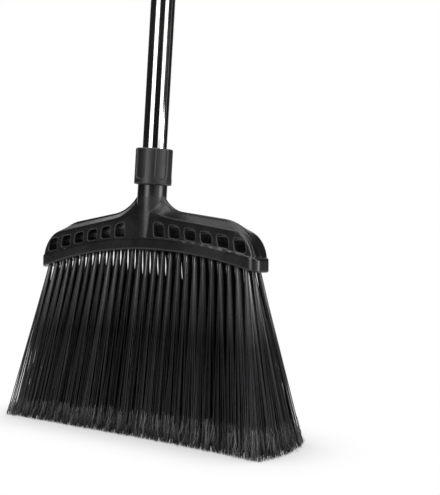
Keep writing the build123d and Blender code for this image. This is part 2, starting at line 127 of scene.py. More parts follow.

# Finishes: reach of the rounding, of the painted edge highlight and of the painted shade in hollows,
# and what sets the smaller pieces apart
EDGE_ROUND = 1.5 * MILLIMETRE
EDGE_HIGHLIGHT_AND_WEAR_REACH = 1.1 * MILLIMETRE
POCKET_REACH = 8 * MILLIMETRE
NUT_SHADE = 0.8
NUT_GRAIN = 2400.0
# The nut's edges are lightened further: a painted highlight on its panel edges, with some wear.
NUT_EDGE_HIGHLIGHT_AND_WEAR = 20.0
GRIP_DULLING = 0.06
WIRE_COLOUR = (0.5, 0.5, 0.5)
RUBBER_COLOUR = (0.012, 0.012, 0.012)

BRISTLE_NODES = [f"bristle_row_{number}" for number in range(1, ROWS + 1)]
TUBE_NODES = [f"tube_{number}" for number in range(1, 5)]
SOCKET_NODES = [f"socket_{number}" for number in range(1, 4)]
PLUG_NODES = [f"plug_{number}" for number in range(2, 5)]
SEAL_NODES = [f"seal_{number}" for number in range(1, 4)]

# The photograph's frame in pixels, and the camera's sensor in millimetres
FRAME_HEIGHT = 495
SENSOR = 36.0

# Studio: azimuths are counted from the camera, to its right, and a reach is from a foot to a top
LEFT_BOX = (math.radians(-55), math.radians(-21))
RIGHT_BOX = (math.radians(30), math.radians(58.5))
PALE_FLAG = (math.radians(91), math.radians(104))
BOX_DISTANCE = 1.3
BOX_REACH = (0.1, 2.1)
HIGH_REACH = (0.28, 2.1)
LOW_REACH = (0.02, 0.32)
LEFT_STRIP = (math.radians(-42), math.radians(-28))
RIGHT_STRIP = (math.radians(60), math.radians(82))
STRIP_DISTANCE = 1.2
TOP_PLACE = Vector((0, -0.3, 2.4))
TOP_AIM = Vector((0, 0, 0.2))
TOP_SIZE = (3.2, 1.2)
FLOOR_SIZE = 24
FLOOR_TONE = 0.35
FLOOR_SHADE = 0.07
BACK_GAP = math.radians(150)
FLAG_RADIUS = 2.2
FLAG_HEIGHT = 5.0
FLAG_STEPS = 12
BLACK_CLOTH = 0.025
PALE_CLOTH = 0.36


class BroomBristleSettings(bpy.types.PropertyGroup):
    """Sizes of the filaments and their flagged tips."""

    filaments: IntProperty(
        name="Filaments",
        description="Filaments in one tuft",
        default=60,
        min=8,
    )
    thickness: FloatProperty(
        name="Thickness",
        description="Diameter of one filament",
        default=0.0005,
        subtype="DISTANCE",
    )
    root_radius: FloatProperty(
        name="Root radius",
        description="Radius of a tuft where it leaves the rim",
        default=0.0016,
        subtype="DISTANCE",
    )
    flare: FloatProperty(
        name="Flare",
        description="Power of the distance from the rim at which a tuft opens",
        default=1.1,
    )
    wave: FloatProperty(
        name="Wave",
        description="Sideways bow of a filament",
        default=0.0004,
        subtype="DISTANCE",
    )
    raggedness: FloatProperty(
        name="Raggedness",
        description="How unevenly the tips are cut",
        default=0.0006,
        subtype="DISTANCE",
    )
    flag_length: FloatProperty(
        name="Flag length",
        description="Length of the split ends",
        default=0.019,
        subtype="DISTANCE",
    )
    flag_hairs: IntProperty(
        name="Flag hairs",
        description="Hairs that one filament splits into",
        default=4,
        min=1,
    )
    flag_spread: FloatProperty(
        name="Flag spread",
        description="How far the split ends part",
        default=0.0016,
        subtype="DISTANCE",
    )
    strays: IntProperty(
        name="Strays",
        description="Filaments in each row that stand away from their tuft",
        default=5,
        min=0,
    )
    seed: IntProperty(
        name="Seed",
        description="Start of the random draws",
        default=11,
    )


class BroomFinishSettings(bpy.types.PropertyGroup):
    """Colours and shine of the broom's materials."""

    head_colour: FloatVectorProperty(
        name="Head",
        description="Colour of the moulded head",
        default=(0.0105, 0.0106, 0.011),
        subtype="COLOR",
        min=0,
        max=1,
    )
    fitting_colour: FloatVectorProperty(
        name="Fittings",
        description="Colour of the bands and the grip",
        default=(0.006, 0.006, 0.0063),
        subtype="COLOR",
        min=0,
        max=1,
    )
    bristle_colour: FloatVectorProperty(
        name="Bristles",
        description="Colour of the filaments",
        default=(0.006, 0.006, 0.0065),
        subtype="COLOR",
        min=0,
        max=1,
    )
    tip_colour: FloatVectorProperty(
        name="Tips",
        description="Colour of the flagged tips",
        default=(0.165, 0.165, 0.172),
        subtype="COLOR",
        min=0,
        max=1,
    )
    steel_colour: FloatVectorProperty(
        name="Steel",
        description="Colour of the polished tubes",
        default=(0.66, 0.655, 0.65),
        subtype="COLOR",
        min=0,
        max=1,
    )
    head_roughness: FloatProperty(
        name="Head roughness",
        description="Mean roughness of the moulded head",
        default=0.26,
        subtype="FACTOR",
        min=0,
        max=1,
    )
    nut_roughness: FloatProperty(
        name="Nut roughness",
        description="Mean roughness of the hand nut",
        default=0.46,
        subtype="FACTOR",
        min=0,
        max=1,
    )
    gloss_roughness: FloatProperty(
        name="Gloss roughness",
        description="Mean roughness of the bands and the grip",
        default=0.24,
        subtype="FACTOR",
        min=0,
        max=1,
    )
    steel_roughness: FloatProperty(
        name="Steel roughness",
        description="Mean roughness of the polished tubes",
        default=0.09,
        subtype="FACTOR",
        min=0,
        max=1,
    )


class BroomStageSettings(bpy.types.PropertyGroup):
    """Camera and light."""

    azimuth: FloatProperty(
        name="Azimuth",
        description="Side that the camera stands on, from the front towards +X",
        default=math.radians(36.2),
        subtype="ANGLE",
    )
    elevation: FloatProperty(
        name="Elevation",
        description="Height of the camera as an angle",
        default=math.radians(0.2),
        subtype="ANGLE",
    )
    roll: FloatProperty(
        name="Roll",
        description="Tilt of the camera about its line of sight",
        default=math.radians(0.39),
        subtype="ANGLE",
    )
    distance: FloatProperty(
        name="Distance",
        description="From the camera to its target",
        default=0.735,
        subtype="DISTANCE",
    )
    target: FloatVectorProperty(
        name="Target",
        description="Point that the camera looks at",
        default=(0.08165, 0.0, 0.1621),
        subtype="TRANSLATION",
    )
    focal_pixels: FloatProperty(
        name="Focal length",
        description="Focal length in pixels of the photograph's frame",
        default=873.0,
    )
    left_level: FloatProperty(
        name="Left softbox",
        description="Brightness of the tall softbox to the camera's left, where 1 is white",
        default=1.6,
    )
    right_level: FloatProperty(
        name="Right softbox",
        description="Brightness of the tall softbox to the camera's right, where 1 is white",
        default=1.45,
    )
    left_strip: FloatProperty(
        name="Left strip",
        description="Brightness of the narrow strip before the left softbox, where 1 is white",
        default=3.5,
    )
    right_strip: FloatProperty(
        name="Right strip",
        description="Brightness of the low strip beside the right softbox, where 1 is white",
        default=8.0,
    )
    top_level: FloatProperty(
        name="Top light",
        description="Brightness of the light overhead, where 1 is white",
        default=2.2,
    )
    ambient: FloatProperty(
        name="Ambient",
        description="Strength of the light from all round",
        default=0.12,
    )


class Finish:
    """A node material in the making, with its principled shader and short ways to add nodes."""

    def __init__(self, name, colour, roughness, metallic=0.0):
        self.material = bpy.data.materials.new(name)
        self.material.use_nodes = True
        self.tree = self.material.node_tree
        self.shader = self.tree.nodes["Principled BSDF"]
        self.shader.inputs["Base Color"].default_value = (*colour, 1)
        self.shader.inputs["Roughness"].default_value = roughness
        self.shader.inputs["Metallic"].default_value = metallic
        self.material.diffuse_color = (*colour, 1)

    def node(self, kind, values=(), **settings):
        """Add a node, set its own settings and then its input sockets."""
        made = self.tree.nodes.new(kind)
        for key, value in settings.items():
            setattr(made, key, value)
        for key, value in dict(values).items():
            made.inputs[key].default_value = value
        return made

    def join(self, output, target):
        """Link an output socket to an input socket."""
        self.tree.links.new(output, target)

    def place(self, scale=(1, 1, 1), turn=(0, 0, 0)):
        """Object coordinates, turned and stretched."""
        coordinates = self.node("ShaderNodeTexCoord")
        mapping = self.node("ShaderNodeMapping", {"Rotation": turn, "Scale": scale})
        self.join(coordinates.outputs["Object"], mapping.inputs["Vector"])
        return mapping.outputs["Vector"]

    def noise(self, vector, scale, detail=2.0):
        """Noise from 0 to 1 with a grain of 1 / scale metres."""
        made = self.node("ShaderNodeTexNoise", {"Scale": scale, "Detail": detail})
        self.join(vector, made.inputs["Vector"])
        return made.outputs["Fac"]

    def spread(self, value, low, high, start=0.3, end=0.7):
        """Carry a value from between start and end to between low and high."""
        limits = {"From Min": start, "From Max": end, "To Min": low, "To Max": high}
        made = self.node("ShaderNodeMapRange", limits)
        self.join(value, made.inputs["Value"])
        return made.outputs["Result"]

    def combine(self, operation, first, second, clamp=False):
        """Join two values by an arithmetic operation."""
        made = self.node("ShaderNodeMath", operation=operation, use_clamp=clamp)
        self.join(first, made.inputs[0])
        self.join(second, made.inputs[1])
        return made.outputs["Value"]

    def mix(self, factor):
        """Make a mix of two colours the shader's colour, and return the two colours' sockets."""
        made = self.node("ShaderNodeMix", data_type="RGBA")
        self.join(factor, made.inputs["Factor"])
        result = next(s for s in made.outputs if s.type == "RGBA")
        self.join(result, self.shader.inputs["Base Color"])
        return [s for s in made.inputs if s.type == "RGBA"]

    def tint(self, factor, low, high):
        """Colour the shader from low to high as a factor goes from 0 to 1."""
        low_socket, high_socket = self.mix(factor)
        low_socket.default_value = (*low, 1)
        high_socket.default_value = (*high, 1)

    def lay_colour(self, factor, colour):
        """Lay a colour over the shader's own as far as a factor says: painted shade in hollows, and a
        painted highlight with some wear on edges.
        """
        under = self.shader.inputs["Base Color"].links[0].from_socket
        low_socket, high_socket = self.mix(factor)
        self.join(under, low_socket)
        high_socket.default_value = (*colour, 1)

    def vary(self, value, colour, dark, light, **limits):
        """Colour the shader from a darker to a lighter shade of a colour, by a value."""
        factor = self.spread(value, 0.0, 1.0, **limits)
        self.tint(factor, shade(colour, dark), shade(colour, light))

    def roughen(self, value, low, high, **limits):
        """Carry the shader's roughness from low to high, by a value."""
        self.join(self.spread(value, low, high, **limits), self.shader.inputs["Roughness"])

    def hidden(self, reach, low, high, inside=False):
        """0 where a point sees more than the high share around it in reach, and 1 under the low.

        It looks out at the sky, or inside the piece for its other walls.
        """
        looks = {"inside": inside, "only_local": True}
        seen = self.node("ShaderNodeAmbientOcclusion", {"Distance": reach}, **looks)
        return self.spread(seen.outputs["AO"], 1.0, 0.0, start=low, end=high)

    def outer_edges(self):
        """1 along the outer edges, where another wall is near inside, and 0 further in: where a
        highlight is painted, with some wear.
        """
        return self.hidden(EDGE_HIGHLIGHT_AND_WEAR_REACH, 0.6, 0.92, inside=True)

    def pocket_shade(self):
        """0 in the open and 1 deep inside, where the surface sees little of the sky: where shade is
        painted.
        """
        return self.hidden(POCKET_REACH, 0.3, 0.75)

    def bump(self, height, strength, depth, rounding=0.0):
        """Turn a height from 0 to 1 into a relief of that depth in metres, over rounded edges."""
        made = self.node("ShaderNodeBump", {"Strength": strength, "Distance": depth})
        self.join(height, made.inputs["Height"])
        if rounding:
            rounded = self.node("ShaderNodeBevel", {"Radius": rounding})
            self.join(rounded.outputs["Normal"], made.inputs["Normal"])
        self.join(made.outputs["Normal"], self.shader.inputs["Normal"])


class TreeFinish(Finish):
    """The same short ways to add nodes on a node tree that has no principled shader."""

    def __init__(self, tree):
        self.tree = tree
        tree.nodes.clear()


def shade(colour, factor):
    """A colour made lighter or darker."""
    return tuple(min(1.0, channel * factor) for channel in colour)


def moulded_plastic(name, colour, roughness, grain=1800.0, edge_highlight_and_wear=7.0):
    """Satin moulded plastic with fine grain and a slow drift of shine and tone, painted shade in its
    hollows, and edges lightened by a painted highlight with some wear.
    """
    finish = Finish(name, colour, roughness)
    place = finish.place()
    drift = finish.noise(place, scale=45.0, detail=3.0)
    pocket_shade = finish.pocket_shade()
    shine = finish.spread(drift, roughness - 0.06, roughness + 0.07)
    dulled = finish.combine("ADD", shine, pocket_shade, clamp=True)
    finish.join(dulled, finish.shader.inputs["Roughness"])
    finish.vary(drift, colour, dark=0.85, light=1.2)
    # Painted shade: the hollows are darkened to a third of the colour.
    finish.lay_colour(pocket_shade, shade(colour, 0.3))
    # Painted highlight with some wear: the outer edges are lightened several times over.
    finish.lay_colour(finish.outer_edges(), shade(colour, edge_highlight_and_wear))
    relief = finish.noise(place, scale=grain, detail=2.0)
    finish.bump(relief, strength=0.25, depth=0.06 * MILLIMETRE, rounding=EDGE_ROUND)
    return finish.material


def gloss_plastic(name, colour, roughness):
    """Gloss plastic: a faint orange peel and fine scuffs round the pole."""
    finish = Finish(name, colour, roughness)
    peel = finish.noise(finish.place(), scale=420.0, detail=1.0)
    scuffs = finish.noise(finish.place((60, 60, 900), pole_turn()), scale=1.0, detail=4.0)
    finish.roughen(scuffs, roughness - 0.05, roughness + 0.1)
    finish.vary(scuffs, colour, dark=0.9, light=1.15)
    finish.bump(peel, strength=0.15, depth=0.04 * MILLIMETRE)
    return finish.material


def polished_steel(name, colour, roughness):
    """Polished stainless tube: drawing lines along the pole in its shine, tone and relief."""
    finish = Finish(name, colour, roughness, metallic=1.0)
    lines = finish.noise(finish.place((1400, 1400, 5), pole_turn()), scale=1.0, detail=3.0)
    clouds = finish.noise(finish.place(), scale=25.0, detail=3.0)
    finish.roughen(clouds, roughness - 0.03, roughness + 0.05)
    finish.vary(lines, colour, dark=0.93, light=1.04)
    finish.bump(lines, strength=0.05, depth=0.02 * MILLIMETRE)
    return finish.material


def brushed_wire(name, colour):
    """Flat steel wire with fine cross marks."""
    finish = Finish(name, colour, 0.35, metallic=1.0)
    marks = finish.noise(finish.place((200, 200, 4000)), scale=1.0, detail=2.0)
    finish.roughen(marks, 0.28, 0.45)
    finish.vary(marks, colour, dark=0.85, light=1.1)
    return finish.material


def seal_rubber(name, colour):
    """Matt black rubber with a fine bloom."""
    finish = Finish(name, colour, 0.72)
    bloom = finish.noise(finish.place(), scale=900.0, detail=3.0)
    finish.roughen(bloom, 0.62, 0.82)
    finish.vary(bloom, colour, dark=0.8, light=1.5)
    finish.bump(bloom, strength=0.3, depth=0.05 * MILLIMETRE)
    return finish.material


def strand_parts(finish):
    """Tone of a strand and the share of its length, from its map."""
    place = finish.node("ShaderNodeUVMap", uv_map=BRISTLE_MAP)
    parts = finish.node("ShaderNodeSeparateXYZ")
    finish.join(place.outputs["UV"], parts.inputs["Vector"])
    return parts.outputs["X"], parts.outputs["Y"]


def drawn_filament(name, colour):
    """Drawn black filament, whose tone and shine differ from clump to clump, and rise in the end
    tufts as painted light.

    The shine fades from the rim down to the middle, and comes back a little towards the tips.
    """
    finish = Finish(name, colour, 0.34)
    tone, along = strand_parts(finish)
    finish.vary(tone, colour, dark=0.4, light=6.0, start=0.1, end=0.9)
    upper = finish.spread(along, 0.9, 0.0, start=0.06, end=0.45)
    lower = finish.spread(along, 0.16, 0.45, start=0.45, end=0.9)
    share = finish.spread(tone, 0.5, 1.2, start=0.1, end=0.9)
    shine = finish.combine("MULTIPLY", share, finish.combine("ADD", upper, lower))
    level = finish.shader.inputs["Specular IOR Level"]
    level.default_value = 0.35
    finish.join(shine, level)
    finish.roughen(along, 0.22, 0.4, start=0.0, end=1.0)
    return finish.material


def flagged_hair(name, colour, flag_share):
    """Split end: dull and pale, palest where it leaves its filament and darker towards its tip,
    partly as painted shade near the floor, and of many tones.
    """
    finish = Finish(name, colour, 0.6)
    tone, along = strand_parts(finish)
    # Darker towards the tip: partly the split end's own look, partly painted shade near the floor.
    fade = finish.spread(along, 0.3, -0.3, start=1 - flag_share, end=1.0)
    total = finish.combine("ADD", tone, fade, clamp=True)
    finish.tint(total, shade(colour, 0.1), shade(colour, 1.6))
    return finish.material


def pole_turn():
    """Rotation that carries the pole's direction to the Z axis, for patterns along the pole."""
    return POLE_UP.rotation_difference(Vector((0, 0, 1))).to_euler()


def dress(nodes, material):
    """Give CAD nodes a material."""
    for name in nodes:
        node = frame["nodes"][name]
        node.data.materials.clear()
        node.data.materials.append(material)


def add_piece(name, points, faces, strand_uv, material, normals=None):
    """Make a mesh object from points, arrays of face corners and a map position for each point.

    Where normals are given, a point's own one is kept only if the given one is zero.
    """
    mesh = bpy.data.meshes.new(name)
    corners = np.concatenate([group.ravel() for group in faces]).astype(np.int32)
    counts = np.concatenate([np.full(len(group), group.shape[1]) for group in faces])
    starts = np.concatenate([[0], np.cumsum(counts)[:-1]]).astype(np.int32)
    mesh.vertices.add(len(points))
    mesh.vertices.foreach_set("co", points.astype(np.float32).ravel())
    mesh.loops.add(len(corners))
    mesh.loops.foreach_set("vertex_index", corners)
    mesh.polygons.add(len(starts))
    mesh.polygons.foreach_set("loop_start", starts)
    layer = mesh.uv_layers.new(name=BRISTLE_MAP)
    layer.uv.foreach_set("vector", strand_uv[corners].astype(np.float32).ravel())
    mesh.update(calc_edges=True)
    if mesh.validate():
        raise RuntimeError(f"{name} has faces that don't hold together")
    mesh.shade_smooth()
    if normals is not None:
        mesh.normals_split_custom_set_from_vertices(normals)
    mesh.materials.append(material)
    piece = bpy.data.objects.new(name, mesh)
    bpy.context.scene.collection.objects.link(piece)
    return piece


def closed_tubes(rings):
    """Faces of closed tubes from rings of points, as an array of tube, station, corner and axis.

    Each pair of neighbouring corners and stations bounds a quad, and the end rings are faces too.
    The turn from the next corner to the next station is about the outward normal.
    """
    tubes, stations, sides, _ = rings.shape
    index = np.arange(tubes * stations * sides).reshape(tubes, stations, sides)
    beside = np.roll(index, -1, axis=2)
    quads = np.stack([index[:, :-1], beside[:, :-1], beside[:, 1:], index[:, 1:]], axis=-1)
    return [quads.reshape(-1, 4), index[:, 0, ::-1], index[:, -1]]


def tube_rings(lines, radii, sides):
    """Level polygons round each point of each line, clockwise from above as the line goes down."""
    angles = -2 * np.pi * np.arange(sides) / sides
    circle = np.stack([np.cos(angles), np.sin(angles), np.zeros(sides)], axis=-1)
    return lines[:, :, None, :] + radii[:, :, None, None] * circle


def strand_map(tone, along, sides):
    """Map positions of tubes: a narrow column for each tone, going up by the share of the length."""
    across = MAP_EDGE + (1 - 2 * MAP_EDGE) * tone[:, None, None]
    across = across + MAP_COLUMN * np.arange(sides)
    up = MAP_EDGE + (1 - 2 * MAP_EDGE) * along[:, :, None]
    return np.stack(np.broadcast_arrays(across, up), axis=-1).reshape(-1, 2)


def unit(vectors):
    """Vectors of length one along the given ones."""
    return vectors / np.maximum(np.linalg.norm(vectors, axis=-1, keepdims=True), 1e-9)


def underside(x):
    """Height of the rim's arched underside, a circle through its middle and its two ends."""
    return RIM_UNDERSIDE - ARCH_RADIUS + np.sqrt(ARCH_RADIUS**2 - x**2)


def backing_slice(row):
    """Slice of the backing that a row is set in: a rectangle carried along the arch of the rim."""
    x = np.linspace(-BACKING_LENGTH / 2, BACKING_LENGTH / 2, SLICE_STATIONS)
    middle = (row - (ROWS - 1) / 2) * ROW_PITCH
    half = ROW_PITCH / 2 - BACKING_GAP
    y = middle + half * np.array([-1, 1, 1, -1])
    z = underside(x)[:, None] + BACKING * np.array([0, 0, 1, 1])
    return np.stack(np.broadcast_arrays(x[:, None], y, z), axis=-1)[None]


class RowLayout:
    """Where the filaments of one row start and end.

    A tuft's filaments lie on a disc by the golden angle at the root, each at the square root of its
    share of the count. At the foot the disc is drawn out to the rectangle of floor that the tuft
    covers, and a few clumps in it draw together.
    """

    def __init__(self, settings, row):
        self.settings = settings
        self.draws = np.random.default_rng(settings.seed + row)
        tufts, count = TUFTS, settings.filaments
        column = np.arange(tufts)[:, None] - (tufts - 1) / 2 + ROW_STAGGER[row]
        level = row - (ROWS - 1) / 2
        order = np.arange(count)[None, :]
        ray = np.sqrt((order + 0.5) / count)
        turn = order * GOLDEN_ANGLE + self.draws.uniform(0, 2 * np.pi, (tufts, 1))
        circle = np.stack([np.cos(turn), np.sin(turn)], axis=-1)
        disc = ray[..., None] * circle
        square = disc / np.abs(circle).max(axis=-1)[..., None]
        cell = np.array([FOOT_LENGTH / TUFTS, FOOT_DEPTH / ROWS])
        root = np.stack([column * TUFT_PITCH, np.full_like(column, level * ROW_PITCH)], axis=-1)
        foot = np.stack([column, np.full_like(column, level)], axis=-1) * cell
        self.root = root + settings.root_radius * disc
        self.root_height = underside(column * TUFT_PITCH) + BACKING / 2 + 0 * ray
        self.centre_root = root
        self.centre_foot = foot
        self.tip = foot + self.clumped(square * cell * TUFT_SPREAD, turn)
        self.tip = self.rounded(self.tip + self.draws.normal(0, TIP_SCATTER, self.tip.shape))
        self.stray_out()
        self.tip_height = self.cut(self.draws)
        bow = self.draws.normal(0, settings.wave, self.root_height.shape)
        bearing = self.draws.uniform(0, 2 * np.pi, self.root_height.shape)
        self.bow = bow[..., None] * np.stack([np.cos(bearing), np.sin(bearing)], axis=-1)

    def clumped(self, spread, turn):
        """Draw each sector of a tuft towards its middle, and give it a tone, paler in the end tufts
        as painted light on the row's ends.

        A clump's own tone is a share of the square of a random draw, so few clumps are pale.
        """
        sector = np.floor((turn % (2 * np.pi)) / (2 * np.pi) * CLUMPS)
        pulled = spread.copy()
        self.clump_side = np.zeros_like(spread)
        self.tone = self.draws.uniform(0, OWN_TONE, sector.shape)
        for number in range(CLUMPS):
            inside = (sector == number)[..., None]
            middle = (spread * inside).sum(axis=1, keepdims=True)
            middle = middle / inside.sum(axis=1, keepdims=True)
            self.clump_side += inside * unit(spread - middle)
            pull = self.draws.uniform(*CLUMP_PULL, middle.shape[:1])
            pull[:END_TUFTS] *= END_PULL
            pull[-END_TUFTS:] *= END_PULL
            pulled = np.where(inside, spread + pull[:, None, None] * (middle - spread), pulled)
            drawn = self.draws.uniform(0, 1, middle.shape[:1])
            self.tone += inside[..., 0] * CLUMP_TONE * drawn[:, None] ** 2
        # Painted light: the end tufts are made paler, where the light falls on the row's ends.
        self.tone[:END_TUFTS] += END_PAINTED_LIGHT
        self.tone[-END_TUFTS:] += END_PAINTED_LIGHT
        self.tone = np.clip(self.tone, 0, 1)
        return pulled

    def rounded(self, tip):
        """Keep the tips on the foot: its short ends bulge, and its front splays out towards +X.

        Both are parabolas, of the share of the depth and of the share of the length.
        """
        reach = np.array([FOOT_LENGTH, FOOT_DEPTH]) / 2
        share = np.clip(tip / reach, -1, 1)
        drawn_in = np.array([FOOT_ROUND, 0]) * (share[..., 1:] - FOOT_BULGE) ** 2
        splayed = np.array(FOOT_SPLAY) * np.clip(share[..., :1], 0, 1) ** 2
        splayed[..., 1] *= share[..., 1] < 0
        return share * reach * (1 - drawn_in + splayed)

    def cut(self, draws):
        """Heights of the cut tips, a little ragged above the floor."""
        return np.abs(draws.normal(0, self.settings.raggedness, self.root_height.shape))

    def stray_out(self):
        """Bend a few filaments away from their tufts."""
        tufts = self.draws.integers(0, TUFTS, self.settings.strays)
        members = self.draws.integers(0, self.settings.filaments, self.settings.strays)
        away = self.draws.normal(0, STRAY_REACH, (self.settings.strays, 2))
        self.tip[tufts, members] = self.tip[tufts, members] + away

    def outward(self, share):
        """Level directions out of the tuft near the rim, and out of the clump at the foot."""
        share = np.asarray(share)[..., None]
        middle = self.centre_root + (self.centre_foot - self.centre_root) * share
        tuft_side = unit(self.at(share[..., 0])[..., :2] - middle)
        return unit(tuft_side * (1 - share) + self.clump_side * share)

    def at(self, share):
        """Points at a share of the way down, as tuft, filament and axis.

        A tuft's middle runs straight from root to foot. A filament's place about that middle goes
        from its root place to its tip place by a power of the share, with a sine bow between.
        """
        share = np.asarray(share)[..., None]
        opening = share**self.settings.flare
        middle = self.centre_root + (self.centre_foot - self.centre_root) * share
        about = (self.root - self.centre_root) * (1 - opening)
        about = about + (self.tip - self.centre_foot) * opening
        level = middle + about + self.bow * np.sin(np.pi * share)
        height = self.root_height + (self.tip_height - self.root_height) * share[..., 0]
        return np.concatenate([level, height[..., None]], axis=-1)


def tuft_cores(settings, layout):
    """Packed middles of the tufts: tubes that swell a little on the way down, then thin to a point.

    The radius is the tuft's at the root, times one plus a share of the way, times the square root
    of one less most of the way's fourth power. Returns the rings, their tones and their ways down.
    """
    way = np.linspace(0, 1, STRAND_RINGS)
    share = CORE_SHARE * way[:, None]
    level = layout.centre_root + (layout.centre_foot - layout.centre_root) * share
    height = layout.root_height[:, :1] * (1 - share[:, 0])
    lines = np.concatenate([level, height[..., None]], axis=-1)
    thick = settings.root_radius + settings.thickness
    radii = thick * (1 + CORE_SWELL * way) * np.sqrt(1 - CORE_POINT * way**4) * np.ones((TUFTS, 1))
    tone = layout.draws.uniform(*CORE_TONE, TUFTS)
    return tube_rings(lines, radii, CORE_SIDES), tone, np.broadcast_to(share[:, 0], radii.shape)


def filament_row(settings, row, material):
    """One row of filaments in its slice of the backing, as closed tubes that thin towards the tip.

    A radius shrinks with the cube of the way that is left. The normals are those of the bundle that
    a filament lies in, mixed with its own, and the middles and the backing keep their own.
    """
    layout = RowLayout(settings, row)
    along = np.linspace(0, 1, STRAND_RINGS)
    shares = [np.full(layout.tone.shape, share) for share in along]
    lines = np.stack([layout.at(share) for share in shares], axis=2)
    lines = lines.reshape(-1, STRAND_RINGS, 3)
    sides = np.stack([layout.outward(share) for share in shares], axis=2)
    sides = sides.reshape(-1, STRAND_RINGS, 1, 2)
    radii = settings.thickness / 2 * (1 + ROOT_SWELL * (1 - along) ** 3) * np.ones((len(lines), 1))
    rings = tube_rings(lines, radii, STRAND_SIDES)
    core_rings, core_tone, core_along = tuft_cores(settings, layout)
    slice_rings = backing_slice(row)
    points = []
    faces = []
    first = 0
    for group in (rings, core_rings, slice_rings):
        points.append(group.reshape(-1, 3))
        faces += [corners + first for corners in closed_tubes(group)]
        first += len(points[-1])
    slice_count = len(points[-1])
    across = np.linspace(*SLICE_TONE, slice_count)
    places = [
        strand_map(layout.tone.ravel(), np.broadcast_to(along, radii.shape), STRAND_SIDES),
        strand_map(core_tone, core_along, CORE_SIDES),
        np.stack([across, np.tile(SLICE_ALONG, slice_count // 2)], axis=-1),
    ]
    points = np.concatenate(points)
    own = unit(rings - lines[:, :, None, :])
    bundled = np.concatenate([sides, np.zeros_like(sides[..., :1])], axis=-1)
    facing = unit(BUNDLE_SHARE * bundled + (1 - BUNDLE_SHARE) * own).reshape(-1, 3)
    normals = np.zeros_like(points)
    normals[: len(facing)] = facing
    name = f"bristles_{row + 1}"
    return add_piece(name, points, faces, np.concatenate(places), material, normals)


def flag_row(settings, row, material):
    """The split ends of one row: each filament ends in a wisp of thin hairs, curled and bent aside.

    A hair runs straight from its filament to its end, plus the wisp's curl times a sine of the run.
    A wisp's tone is the cube of a random draw, so few wisps are pale.
    """
    layout = RowLayout(settings, row)
    draws = np.random.default_rng(settings.seed + ROWS + row)
    shape = layout.tone.shape + (settings.flag_hairs,)
    share = settings.flag_length / RIM_UNDERSIDE
    lean = 1 + FLAG_LEAN * layout.centre_foot[..., 0] / FOOT_LENGTH
    start = 1 - share * lean[..., None] * draws.uniform(*FLAG_START, shape)
    tip = layout.at(np.ones(layout.tone.shape))
    run = np.linspace(0, 1, HAIR_RINGS)[:, None]
    bend = draws.normal(0, settings.flag_spread, tip.shape) * LEVEL
    curl = draws.normal(0, WISP_CURL, tip.shape[:2] + (HAIR_RINGS, 3)) * LEVEL
    hairs = []
    for number in range(settings.flag_hairs):
        root = layout.at(start[..., number])
        end = tip + bend + draws.normal(0, HAIR_PART * settings.flag_spread, tip.shape) * LEVEL
        end[..., 2] = layout.cut(draws)
        line = root[..., None, :] * (1 - run) + end[..., None, :] * run
        hairs.append(line + curl * np.sin(np.pi * run / CURL_RUN))
    lines = np.stack(hairs, axis=2).reshape(-1, HAIR_RINGS, 3)
    run = run[:, 0]
    radii = settings.thickness * (HAIR_RADIUS - HAIR_TAPER * run) * np.ones((len(lines), 1))
    along = start.reshape(-1, 1) * (1 - run) + run
    wisp_tone = draws.uniform(0, 1, layout.tone.shape) ** 3
    tone = wisp_tone[..., None] + draws.uniform(-HAIR_TONE, HAIR_TONE, shape)
    rings = tube_rings(lines, radii, HAIR_SIDES)
    places = strand_map(np.clip(tone, 0, 1).ravel(), along, HAIR_SIDES)
    name = f"flags_{row + 1}"
    return add_piece(name, rings.reshape(-1, 3), closed_tubes(rings), places, material)


class BROOM_OT_mould_head(bpy.types.Operator):
    """Finish the moulded head with its neck"""

    bl_idname = "broom.mould_head"
    bl_label = "Mould Head"

    def execute(self, context):
        looks = context.scene.broom_finish
        head = moulded_plastic("head_plastic", looks.head_colour, looks.head_roughness)
        dress(["head_block"], head)
        return {"FINISHED"}


class BROOM_OT_plant_bristles(bpy.types.Operator):
    """Plant the rows of filaments and split their tips"""

    bl_idname = "broom.plant_bristles"
    bl_label = "Plant Bristles"

    def execute(self, context):
        settings = context.scene.broom_bristles
        looks = context.scene.broom_finish
        share = settings.flag_length / RIM_UNDERSIDE
        filament = drawn_filament("drawn_filament", looks.bristle_colour)
        hair = flagged_hair("flagged_hair", looks.tip_colour, share)
        dress(BRISTLE_NODES, filament)
        for row, node in enumerate(BRISTLE_NODES):
            for piece in (filament_row(settings, row, filament), flag_row(settings, row, hair)):
                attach(piece, "head")
                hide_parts(node)
        return {"FINISHED"}


class BROOM_OT_set_anchors(bpy.types.Operator):
    """Finish the wire anchors that hold the tufts"""

    bl_idname = "broom.set_anchors"
    bl_label = "Set Anchors"

    def execute(self, context):
        dress(["tuft_staples"], brushed_wire("anchor_wire", WIRE_COLOUR))
        return {"FINISHED"}


class BROOM_OT_turn_nut(bpy.types.Operator):
    """Finish the hand nut and the tip of the pole under it"""

    bl_idname = "broom.turn_nut"
    bl_label = "Turn Nut"

    def execute(self, context):
        looks = context.scene.broom_finish
        colour = shade(looks.head_colour, NUT_SHADE)
        nut = moulded_plastic("nut_plastic", colour, looks.nut_roughness, NUT_GRAIN, NUT_EDGE_HIGHLIGHT_AND_WEAR)
        dress(["collar_nut", "pole_tip", "slip_ring"], nut)
        return {"FINISHED"}


class BROOM_OT_polish_tubes(bpy.types.Operator):
    """Finish the steel tubes of the pole"""

    bl_idname = "broom.polish_tubes"
    bl_label = "Polish Tubes"

    def execute(self, context):
        looks = context.scene.broom_finish
        steel = polished_steel("polished_steel", looks.steel_colour, looks.steel_roughness)
        dress(TUBE_NODES, steel)
        return {"FINISHED"}


